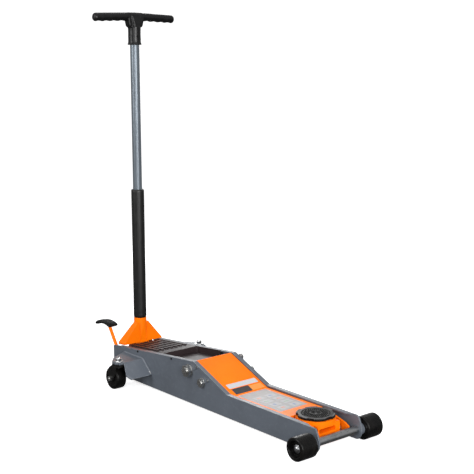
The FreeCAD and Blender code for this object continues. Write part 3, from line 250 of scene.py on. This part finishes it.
# Finishes by name. Where a name is also one of the record's material slots, it's that slot's finish.
FINISH = {
    "grey_paint": paint("grey_paint", (0.096, 0.110, 0.132), 0.38, (0.50, 0.53, 0.56), peel=0.2,
                        radius=0.0022, edge=0.6),
    "orange_paint": paint("orange_paint", (1.0, 0.178, 0.001), 0.34, (1.0, 0.30, 0.03), edge=0.4, gloss=0.12),
    "black_paint": paint("black_paint", (0.006, 0.0057, 0.0054), 0.3, (0.07, 0.067, 0.062), gloss=0.22),
    "deck_paint": paint("deck_paint", (0.030, 0.021, 0.022), 0.36, (0.09, 0.078, 0.075), peel=0.1,
                        edge=0.3, gloss=0.16, dust=0.01),
    "worn_black": paint("worn_black", (0.03, 0.032, 0.036), 0.35, (0.3, 0.33, 0.37), radius=0.0008, edge=0.8),
    "tube_paint": paint("tube_paint", (0.125, 0.148, 0.172), 0.3, (0.42, 0.44, 0.46), metal=0.4, peel=0.0,
                        dust=0.0, grain=(220.0, 220.0, 3.0)),
    # The weld paint is lighter than the plates' grey and its edges near white: partly rubbed paint, partly
    # painted highlight along the bead.
    "weld": paint("weld", (0.15, 0.165, 0.19), 0.35, (0.85, 0.87, 0.9), gloss=0.6, radius=0.0008, edge=1.0),
    "steel": metal("steel", (0.62, 0.62, 0.61), 0.27, (0.42, 0.415, 0.40)),
    "bright_steel": metal("bright_steel", (0.40, 0.41, 0.42), 0.3, (0.31, 0.315, 0.32), (400.0, 20.0, 400.0)),
    "chrome": metal("chrome", (0.66, 0.67, 0.68), 0.16, (0.42, 0.42, 0.42), grain=0.08),
    "iron": metal("iron", (0.09, 0.09, 0.095), 0.5, (0.05, 0.045, 0.04), grain=0.5),
    "black_plastic": plastic("black_plastic", (0.005, 0.005, 0.0055), 0.3, (0.02, 0.02, 0.02), gloss=0.28),
    "wheel_plastic": plastic("wheel_plastic", (0.003, 0.003, 0.003), 0.28, (0.02, 0.017, 0.015), 300.0, 0.25,
                             gloss=0.16),
    "black_rubber": plastic("black_rubber", (0.005, 0.005, 0.005), 0.45, (0.03, 0.028, 0.026), 500.0, 0.5,
                            gloss=0.2),
    "rubber_worn": plastic("rubber_worn", (0.005, 0.0053, 0.0053), 0.4, (0.036, 0.032, 0.029), 500.0, 0.5,
                           gloss=0.16),
    "foam": foam("foam", (0.003, 0.003, 0.003)),
    "label_white": plastic("label_white", (0.50, 0.50, 0.52), 0.35, (0.42, 0.42, 0.43), 700.0, 0.1,
                           gloss=0.2),
    "label_panel": plastic("label_panel", (0.335, 0.325, 0.325), 0.4, (0.29, 0.285, 0.28), 700.0, 0.1,
                           gloss=0.1),
    "label_grey": plastic("label_grey", (0.385, 0.385, 0.40), 0.4, (0.34, 0.34, 0.35), 700.0, 0.1, gloss=0.1),
    "label_dark": plastic("label_dark", (0.045, 0.042, 0.045), 0.35, (0.08, 0.075, 0.075), 700.0, 0.1,
                          gloss=0.2),
    "label_orange": plastic("label_orange", (0.90, 0.27, 0.06), 0.35, (0.76, 0.3, 0.12), 700.0, 0.1,
                            gloss=0.15),
    "label_warm": plastic("label_warm", (0.50, 0.25, 0.19), 0.35, (0.44, 0.25, 0.2), 700.0, 0.1, gloss=0.2),
    "label_cool": plastic("label_cool", (0.19, 0.23, 0.35), 0.35, (0.22, 0.26, 0.35), 700.0, 0.1, gloss=0.2),
    "label_green": plastic("label_green", (0.24, 0.33, 0.25), 0.35, (0.25, 0.33, 0.27), 700.0, 0.1,
                           gloss=0.2),
}
# CAD nodes whose finish isn't their slot's.
CAD_FINISH = {
    "front_axle": "bright_steel", "axle_caps": "bright_steel",
    "tool_tray": "deck_paint", "deck_cover": "deck_paint",
    "front_left_wheel": "wheel_plastic", "front_right_wheel": "wheel_plastic",
    "left_caster_wheel": "wheel_plastic", "right_caster_wheel": "wheel_plastic",
    # The lift arm hub and levers take black paint instead of their orange slot: painted shade, for the dark
    # behind the lift arm cover where they sit.
    "lift_arm_hub": "black_paint", "lift_levers": "black_paint",
}


# ---------------------------------------------------------------- stage

def camera():
    """The camera: ahead of the saddle on the right, 1.1 m up and turned slightly down."""
    turn, tilt, roll = math.radians(50.2042), math.radians(9.5238), math.radians(-0.25065)
    back = Vector((math.sin(turn) * math.cos(tilt), -math.cos(turn) * math.cos(tilt), math.sin(tilt)))
    right = (-back).cross(Vector((0, 0, 1))).normalized()
    up = right.cross(-back)
    right, up = right * math.cos(roll) + up * math.sin(roll), up * math.cos(roll) - right * math.sin(roll)
    data = bpy.data.cameras.new("camera")
    data.lens = 78.31
    data.sensor_width = 36.0
    data.clip_end = 60.0
    made = bpy.data.objects.new("camera", data)
    bpy.context.scene.collection.objects.link(made)
    axes = Matrix((right, up, back)).transposed().to_4x4()
    made.matrix_world = Matrix.Translation((2.56195, -2.0424, 1.1)) @ axes
    bpy.context.scene.camera = made


def area_light(name, place, target, size, power):
    """Rectangular lamp that faces the target."""
    data = bpy.data.lights.new(name, "AREA")
    data.shape = "RECTANGLE"
    data.size, data.size_y = size
    data.energy = power
    made = bpy.data.objects.new(name, data)
    bpy.context.scene.collection.objects.link(made)
    made.location = place
    made.rotation_mode = "QUATERNION"
    made.rotation_quaternion = (Vector(target) - Vector(place)).to_track_quat("-Z", "Y")


def backdrop():
    """A pale round floor that curves up into a wall on every side."""
    steps, radius, curve, wall_top = 96, 9.0, 3.0, 7.0
    profile = [(0.0, 0.0), (radius - curve, 0.0)]
    for i in range(1, 13):
        turn = i * math.pi / 24
        profile.append((radius - curve + curve * math.sin(turn), curve - curve * math.cos(turn)))
    profile.append((radius, wall_top))
    mesh = bmesh.new()
    centre = mesh.verts.new((0, 0, 0))
    rings = []
    for r, z in profile[1:]:
        turns = [TAU * i / steps for i in range(steps)]
        rings.append([mesh.verts.new((r * math.cos(turn), r * math.sin(turn), z)) for turn in turns])
    for i in range(steps):
        j = (i + 1) % steps
        mesh.faces.new((centre, rings[0][i], rings[0][j]))
        for low, high in zip(rings, rings[1:]):
            mesh.faces.new((low[i], high[i], high[j], low[j]))
    data = bpy.data.meshes.new("floor")
    mesh.to_mesh(data)
    mesh.free()
    for face in data.polygons:
        face.use_smooth = True
    made = bpy.data.objects.new("floor", data)
    bpy.context.scene.collection.objects.link(made)
    made.location.z = -0.0004       # just under the wheels, so that the two never coincide
    g = Graph("floor")
    tone = g.between(g.noise(2.0, 3.0), 0.3, 0.7)
    g.link(g.mix(tone, (0.86, 0.86, 0.865), (0.88, 0.88, 0.885)), g.shader.inputs["Base Color"])
    g.shader.inputs["Roughness"].default_value = 0.85
    g.shader.inputs["Emission Color"].default_value = (1.0, 1.0, 1.0, 1.0)
    g.shader.inputs["Emission Strength"].default_value = 0.68
    data.materials.append(g.material)
    made.visible_diffuse = False
    made.visible_glossy = False


def world():
    """White surroundings that darken below the horizon."""
    made = bpy.data.worlds.new("studio")
    bpy.context.scene.world = made
    made.use_nodes = True
    tree = made.node_tree
    back = tree.nodes["Background"]
    back.inputs["Color"].default_value = (1.0, 1.0, 1.0, 1.0)
    split = tree.nodes.new("ShaderNodeSeparateXYZ")
    ramp = tree.nodes.new("ShaderNodeMapRange")
    for socket, value in (("From Min", -0.25), ("From Max", 0.12), ("To Min", 0.10), ("To Max", 0.5)):
        ramp.inputs[socket].default_value = value
    tree.links.new(tree.nodes.new("ShaderNodeTexCoord").outputs["Generated"], split.inputs[0])
    tree.links.new(split.outputs["Z"], ramp.inputs["Value"])
    tree.links.new(ramp.outputs["Result"], back.inputs["Strength"])


bpy.context.scene.view_settings.view_transform = "Standard"
camera()
backdrop()
world()
area_light("key", (-0.7, -3.0, 1.8), (0, 0, 0.4), (1.2, 2.2), 58)
area_light("fill", (3.0, -0.6, 1.2), (-0.2, 0, 0.3), (1.6, 1.6), 90)
area_light("strip", (1.94, -2.14, 1.15), (-0.44, 0, 0.7), (0.3, 2.0), 26)
area_light("top", (0.2, 0.2, 3.2), (0, 0, 0.2), (2.6, 1.8), 6)
area_light("rim", (-2.4, 2.0, 1.8), (0, 0, 0.5), (0.8, 2.2), 30)


# ---------------------------------------------------------------- CAD finishes

SLOT_OF = {part["node"]: part["material_slot"] for part in frame["record"]["subparts"]}


def finish_cad():
    """Give every CAD node its procedural finish."""
    for name, node in NODES.items():
        finish = FINISH[CAD_FINISH.get(name, SLOT_OF[name])]
        for place in node.material_slots:
            place.link = "OBJECT"
            place.material = finish
        if not node.material_slots:
            node.data.materials.append(finish)


finish_cad()


# ---------------------------------------------------------------- pieces

def at(x, y, z):
    """A place given in millimetres from the front axle, the middle plane and the floor."""
    return Vector((AXLE_X + x * MM, y * MM, z * MM))


def placed(x, y, z, turn=None):
    """Frame at that place, in which lengths are millimetres."""
    return Matrix.Translation(at(x, y, z)) @ (turn or Matrix.Identity(4)) @ Matrix.Scale(MM, 4)


def turned(axis, degrees):
    """Rotation about one axis."""
    return Matrix.Rotation(math.radians(degrees), 4, axis)


def bridge(mesh, low, high):
    """Faces between two rings, either of which may be a single point."""
    count = max(len(low), len(high))
    for i in range(count):
        j = (i + 1) % count
        corners = [low[i % len(low)], low[j % len(low)], high[j % len(high)], high[i % len(high)]]
        unique = []
        for corner in corners:
            if corner not in unique:
                unique.append(corner)
        mesh.faces.new(unique)


def lathe(mesh, profile, place, steps=64, shape=None):
    """Revolve (radius, height) points about a frame's Z axis; shape may vary the radius."""
    rings = []
    for radius, height in profile:
        if radius < 1e-6:
            rings.append([mesh.verts.new(place @ Vector((0, 0, height)))])
            continue
        ring = []
        for i in range(steps):
            turn = TAU * i / steps
            r = shape(radius, height, turn) if shape else radius
            ring.append(mesh.verts.new(place @ Vector((r * math.cos(turn), r * math.sin(turn), height))))
        rings.append(ring)
    for low, high in zip(rings, rings[1:]):
        bridge(mesh, low, high)


def loft(mesh, rings):
    """Skin over rings of places that all have the same count, closed at both ends."""
    made = [[mesh.verts.new(place) for place in ring] for ring in rings]
    for low, high in zip(made, made[1:]):
        bridge(mesh, low, high)
    mesh.faces.new(list(reversed(made[0])))
    mesh.faces.new(made[-1])


def slab(mesh, outline, low, high, place):
    """Flat plate with that outline in a frame's XY plane."""
    loft(mesh, [[place @ Vector((x, y, z)) for x, y in outline] for z in (low, high)])


def rounded(x0, y0, x1, y1, radius, steps=5):
    """Outline of a rectangle with round corners."""
    points = []
    for cx, cy, start in ((x1, y1, 0), (x0, y1, 90), (x0, y0, 180), (x1, y0, 270)):
        mx = cx - math.copysign(radius, cx - (x0 + x1) / 2)
        my = cy - math.copysign(radius, cy - (y0 + y1) / 2)
        for i in range(steps + 1):
            turn = math.radians(start + 90 * i / steps)
            points.append((mx + radius * math.cos(turn), my + radius * math.sin(turn)))
    return points


def bead(mesh, path, radius, pitch=3.4):
    """Weld bead along straight runs between places, in overlapping ripples."""
    rings = []
    turns = [TAU * k / 10 for k in range(10)]
    for start, end in zip(path, path[1:]):
        along = (end - start).normalized()
        across = along.orthogonal().normalized()
        up = along.cross(across)
        count = max(6, int((end - start).length / (pitch * MM / 4)))
        for i in range(count + 1):
            ripple = 0.78 + 0.22 * abs(math.sin(math.pi * i / 4))
            if (start is path[0] and i == 0) or (end is path[-1] and i == count):
                ripple = 0.3
            centre = start.lerp(end, i / count)
            rings.append([centre + (across * math.cos(a) + up * math.sin(a)) * radius * MM * ripple
                          for a in turns])
    loft(mesh, rings)


def piece(name, mesh, finish, body, slot, *nodes):
    """One named object that rides on a CAD body and may stand for CAD nodes."""
    bmesh.ops.recalc_face_normals(mesh, faces=mesh.faces)
    data = bpy.data.meshes.new(name)
    mesh.to_mesh(data)
    mesh.free()
    for face in data.polygons:
        face.use_smooth = True
    data.materials.append(FINISH[finish])
    made = bpy.data.objects.new(name, data)
    bpy.context.scene.collection.objects.link(made)
    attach(made, body)
    if nodes:
        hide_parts(*nodes)
    return made


def applied(made):
    """Keep what an object's modifiers make of it, and drop the modifiers."""
    depsgraph = bpy.context.evaluated_depsgraph_get()
    data = bpy.data.meshes.new_from_object(made.evaluated_get(depsgraph))
    made.modifiers.clear()
    made.data = data
    for face in data.polygons:
        face.use_smooth = True


def bevelled(made, width):
    """Round the sharp edges of an object and leave its faces flat."""
    bevel = made.modifiers.new("bevel", "BEVEL")
    bevel.width = width * MM
    bevel.segments = 2
    bevel.limit_method = "ANGLE"
    bevel.angle_limit = math.radians(35)
    applied(made)
    for face in made.data.polygons:
        face.use_smooth = False


def foam_sleeve():
    """Soft foam tube round the handle, slightly uneven, with rounded ends."""
    low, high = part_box("foam_sleeve")
    radius = (high[0] - low[0]) / 2 / MM - 0.35
    length = (high[2] - low[2]) / MM
    profile = [(16.2, 1.5), (17.5, 0.2), (radius - 2.6, 0.0), (radius - 0.9, 1.2), (radius, 4.0)]
    steps = 90
    profile += [(radius, 4 + (length - 8) * i / steps) for i in range(1, steps)]
    profile += [(r, length - h) for r, h in reversed(profile[:5])]

    def uneven(r, height, turn):
        if r < radius - 0.1:
            return r
        spot = Vector((math.cos(turn), math.sin(turn), height / 30.0))
        return r + 0.16 * noise.noise(spot * 1.6) + 0.06 * math.sin(height / 21.0)

    mesh = bmesh.new()
    lathe(mesh, profile, placed(HANDLE_X, 0, low[2] / MM), 72, uneven)
    made = piece("foam_sleeve_soft", mesh, "foam", "handle", "black_rubber", "foam_sleeve")


def grip_arm(mesh, side):
    """One arm of the T grip, with finger waves along its underside and a domed end."""
    radius, reach, droop = 14.4, GRIP_HALF, math.radians(1.9)
    first_wave, wave_pitch, wave_depth, dome_length = 38.0, 30.0, 2.1, 10.0
    count = 110
    rings = []
    for i in range(count + 1):
        t = reach * i / count
        dome = max(0.0, t - (reach - dome_length)) / dome_length
        size = radius * (1.0 - 0.55 * (1 - math.sqrt(max(0.0, 1 - dome * dome * 0.97))))
        wave = 0.0
        if first_wave < t < reach - 5.5:
            wave = 0.5 - 0.5 * math.cos(TAU * (t - first_wave) / wave_pitch)
        ring = []
        for k in range(32):
            turn = TAU * k / 32
            under = max(0.0, -math.sin(turn)) ** 1.5
            r = size - wave_depth * wave * under
            ring.append(at(HANDLE_X + r * math.cos(turn) * 0.97, side * t,
                           GRIP_Z + r * math.sin(turn) - t * math.sin(droop)))
        rings.append(ring)
    loft(mesh, rings)


def grip_section(z, half_x, half_y, corner):
    """Level section of the grip's hub: a rectangle with round corners."""
    return [at(HANDLE_X + x, y, z) for x, y in rounded(-half_x, -half_y, half_x, half_y, corner, 4)]


def t_grip():
    """Moulded T grip: arms, faceted hub and collar run into one skin."""
    mesh = bmesh.new()
    grip_arm(mesh, 1)
    grip_arm(mesh, -1)
    loft(mesh, [grip_section(*row) for row in (
        (1225.0, 11.0, 22.0, 4.0), (1228.0, 13.0, 26.5, 4.0), (1233.0, 13.6, 28.6, 4.0),
        (1248.0, 14.0, 31.5, 4.0), (1258.0, 13.8, 34.0, 5.0), (1268.0, 12.5, 36.0, 5.0),
        (1273.0, 10.0, 34.0, 5.0), (1275.4, 6.5, 28.0, 4.0))])
    loft(mesh, [grip_section(*row) for row in (
        (1220.0, 19.6, 11.0, 4.0), (1240.0, 19.2, 14.0, 4.0), (1256.0, 17.8, 17.5, 4.0),
        (1270.0, 13.6, 21.0, 4.0))])
    collar = [(0, 1166.5), (23.0, 1166.5), (24.3, 1167.5), (24.3, 1169.5), (22.6, 1172.5),
              (22.0, 1178.0), (21.8, 1215.0), (22.4, 1226.0), (20.0, 1232.0), (0, 1232.0)]
    lathe(mesh, collar, placed(HANDLE_X, 0, 0), 64)
    made = piece("t_grip_moulded", mesh, "black_plastic", "handle", "black_plastic", "t_grip")
    join = made.modifiers.new("join", "REMESH")
    join.mode = "VOXEL"
    join.voxel_size = 1.15 * MM
    soft = made.modifiers.new("soft", "SMOOTH")
    soft.iterations = 5
    applied(made)


def pedal_pad():
    """Thick rubber foot pad: a ribbed arch with full rounded ends."""
    low = [(-46.0, 165.5), (-30.0, 169.5), (-12.0, 173.0), (8.0, 174.3), (26.0, 172.8), (46.0, 168.5)]
    high = [(-45.0, 174.5), (-31.0, 180.3), (-14.0, 184.6), (6.0, 186.4), (24.0, 184.6), (45.0, 178.0)]

    half_long, half_wide, rib_pitch = 46.0, 20.6, 6.4

    def along(points, x):
        """Height at x on a gently curved line through the points."""
        for (x0, z0), (x1, z1) in zip(points, points[1:]):
            if x <= x1 or (x1, z1) == points[-1]:
                t = max(0.0, min(1.0, (x - x0) / (x1 - x0)))
                t = t * t * (3 - 2 * t) * 0.25 + t * 0.75
                return z0 + (z1 - z0) * t
        return points[-1][1]

    count, rings = 120, []
    for i in range(count + 1):
        x = (half_long - 0.2) * (2 * i / count - 1)
        end = min(1.0, (half_long - abs(x)) / 8.0)
        round_off = math.sqrt(max(0.02, 1 - (1 - end) ** 2))
        bottom, top = along(low, x), along(high, x)
        centre, half = (top + bottom) / 2, (top - bottom) / 2 * round_off
        bulb = 1.08 + 0.42 * math.exp(-((abs(x) - 39.0) / 7.0) ** 2)
        wide = half_wide * (0.82 + 0.18 * round_off)
        ring = []
        for k in range(36):
            turn = TAU * k / 36
            c, s = math.cos(turn), math.sin(turn)
            u = math.copysign(abs(c) ** 0.55, c) * wide
            w = math.copysign(abs(s) ** 0.7, s) * half * bulb
            if s > 0.3 and end > 0.6 and abs(u) < wide * 0.86:
                w += 0.75 * math.cos(TAU * x / rib_pitch) - 0.4
            ring.append(at(PAD_X + x, PAD_Y + u, centre + w))
        rings.append(ring)
    mesh = bmesh.new()
    loft(mesh, rings)
    made = piece("pedal_pad_rubber", mesh, "rubber_worn", "pedal", "black_rubber", "pedal_pad")


def saddle_pad():
    """Rubber disc with rows of blunt pyramids round a plain ring."""
    low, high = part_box("saddle_pad")
    base, top = low[2] / MM, high[2] / MM
    mesh = bmesh.new()
    place = placed(SADDLE_X, 0, 0)
    lathe(mesh, [(0, base), (41.2, base), (41.4, base + 2.6), (40.4, base + 3.5), (39.0, base + 3.5),
                 (38.4, base + 2.9), (19.2, base + 2.9), (18.8, base + 4.2), (18.0, base + 4.7),
                 (15.0, base + 4.7), (14.2, base + 4.2), (13.8, base + 2.4), (0, base + 2.2)], place, 96)
    pitch, inner, outer = 6.4, 22.0, 36.2
    corners = ((1, 0), (0, 1), (-1, 0), (0, -1))
    for i in range(-8, 9):
        for j in range(-8, 9):
            x, y = pitch * (i + j * 0.5), pitch * j * 0.86
            if inner < math.hypot(x, y) < outer:
                loft(mesh, [[place @ Vector((x + r * a, y + r * b, z)) for a, b in corners]
                            for r, z in ((3.4, base + 2.6), (1.3, top - 0.1))])
    for k in range(8):
        spin = place @ turned("Z", 45 * k)
        slab(mesh, rounded(5.0, -0.9, 12.5, 0.9, 0.8, 2), base + 2.0, base + 3.4, spin)
    made = piece("saddle_pad_knurled", mesh, "rubber_worn", "saddle_plate", "black_rubber", "saddle_pad")
    bevelled(made, 0.35)


def saddle_rim():
    """Worn bright edge that runs round the top of the saddle between its notches."""
    mesh = bmesh.new()
    place = placed(SADDLE_X, 0, 0)
    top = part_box("saddle")[1][2] / MM
    section = ((53.2, top - 0.4), (54.0, top + 0.35), (56.6, top + 0.35), (57.6, top - 0.5))
    for k in range(6):
        start, end = 60 * k + 15.5, 60 * k + 44.5
        rings = []
        for i in range(25):
            turn = math.radians(start + (end - start) * i / 24)
            rings.append([place @ Vector((r * math.cos(turn), r * math.sin(turn), z)) for r, z in section])
        loft(mesh, rings)
    piece("saddle_wear_ring", mesh, "worn_black", "saddle_plate", "black_paint")


def label():
    """Plain stickers on the lift arm cover: a stripe, two blocks and a pale panel of blank fields."""
    length = math.hypot(SLOPE_RUN, SLOPE_RISE)
    stretch = length / SLOPE_RUN
    lean = Matrix(((SLOPE_RUN / length, 0, SLOPE_RISE / length, 0), (0, 1, 0, 0),
                   (-SLOPE_RISE / length, 0, SLOPE_RUN / length, 0), (0, 0, 0, 1)))
    slope = placed(BEND_X, 0, BEND_Z, lean)
    flat = placed(BEND_X, 0, BEND_Z, turned("Y", -0.23))

    def sticker(name, place, finish, fields):
        """Rectangles x0, y0, x1, y1, thickness in one piece, x along the cover from its bend."""
        mesh = bmesh.new()
        for x0, y0, x1, y1, thick in fields:
            slab(mesh, rounded(x0, y0, x1, y1, 1.6, 3), 0.0, thick, place)
        made = piece(name, mesh, finish, "lift_arm", "orange_paint")
        for face in made.data.polygons:
            face.use_smooth = False

    def marks(name, finish, chosen, x0, y0, x1, y1):
        """The same small mark on each chosen field, raised above it."""
        sticker(name, flat, finish, [(f[0] + x0, f[1] + y0, f[0] + x1, f[1] + y1, 2 * STICKER_THICK)
                                     for f in chosen])

    sticker("label_stripe", slope, "label_white", [(-54 * stretch, -58, -34 * stretch, 62, STICKER_THICK)])
    sticker("label_block", slope, "label_dark", [(-31 * stretch, -54, -5 * stretch, 15, STICKER_THICK)])
    sticker("label_patch", slope, "label_orange", [(-28 * stretch, 15.4, -6 * stretch, 65, STICKER_THICK)])
    sticker("label_panel", flat, "label_panel", [(4, -56, 202, 57, STICKER_THICK)])
    fields = []
    for column in range(4):
        for row in range(2):
            x, y = 52 + column * 37, -40 + row * 48
            fields.append((x, y, x + 28, y + 36, 0.4))
    sticker("label_fields", flat, "label_grey", fields)
    marks("label_marks_warm", "label_warm", fields[::3], 8, 11, 19, 25)
    marks("label_marks_cool", "label_cool", fields[1::3], 7, 13, 20, 22)
    marks("label_marks_green", "label_green", fields[2::3], 10, 8, 17, 27)


def welds():
    """Beads where the wings, the socket flare and the pedal are welded on."""
    for side, name in ((1, "left"), (-1, "right")):
        y = side * (PLATE_FACE + 1.2)
        mesh = bmesh.new()
        bead(mesh, [at(-960, y, 98.6), at(-850, y, 98.6), at(-846, y, 97.0), at(-799.5, y, 54.5)], 2.3)
        piece("wing_weld_" + name, mesh, "weld", "chassis", "grey_paint")
        mesh = bmesh.new()
        # The bead's lower end in bright steel is partly painted highlight, where the bead catches the light.
        bead(mesh, [at(-809, y, 63.0), at(-799, y, 53.8)], 2.9)
        piece("weld_toe_" + name, mesh, "bright_steel", "chassis", "steel")
    mesh = bmesh.new()
    for side in (1, -1):
        bead(mesh, [at(HANDLE_X + 19.0, side * 11.5, 124), at(HANDLE_X + 19.0, side * 16.5, 186)], 1.2, 3.0)
    piece("socket_welds", mesh, "orange_paint", "socket", "orange_paint")
    mesh = bmesh.new()
    foot = placed(-1016.5, -76, 78, turned("Y", -33.6))
    turns = [TAU * k / 16 for k in range(17)]
    round_arm = [foot @ Vector((6.6 * math.cos(turn), 6.6 * math.sin(turn), 0)) for turn in turns]
    for start, end in zip(round_arm, round_arm[1:]):
        bead(mesh, [start, end], 1.5, 2.4)
    piece("pedal_weld", mesh, "orange_paint", "pedal", "orange_paint")


def keeper_tabs():
    """Flat tabs on the side plates, each running from a shaft nut to the stud that locks it."""
    mesh = bmesh.new()
    for nut_x, nut_z, reach, stud_x, stud_z in ((PIVOT_X, PIVOT_Z, 17.0, -540.0, 137.6),
                                                (ANCHOR_X, ANCHOR_Z, 12.5, -484.0, 106.0)):
        away = Vector((stud_x - nut_x, stud_z - nut_z))
        length = away.length
        lean = math.degrees(math.atan2(away.y, away.x))
        for side in (1, -1):
            place = placed(nut_x, side * PLATE_FACE, nut_z, turned("X", 90) @ turned("Z", lean))
            low, high = (0.0, 2.2) if side < 0 else (-2.2, 0.0)
            slab(mesh, rounded(reach, -5.0, length + 5.0, 5.0, 2.5), low, high, place)
    made = piece("keeper_tabs", mesh, "grey_paint", "chassis", "grey_paint")
    bevelled(made, 0.5)


def fork_rivets():
    """Domed rivets under the crowns of the caster forks."""
    for side, name in ((1, "left"), (-1, "right")):
        mesh = bmesh.new()
        dome = [(0, 2.4), (1.2, 2.2), (2.2, 1.5), (2.8, 0.4), (2.8, -2.0), (0, -2.0)]
        lathe(mesh, dome, placed(-856.5, side * 178, 81.5, turned("Y", 90)), 24)
        piece("fork_rivet_" + name, mesh, "chrome", name + "_swivel", "steel")


foam_sleeve()
t_grip()
pedal_pad()
saddle_pad()
saddle_rim()
label()
welds()
keeper_tabs()
fork_rivets()
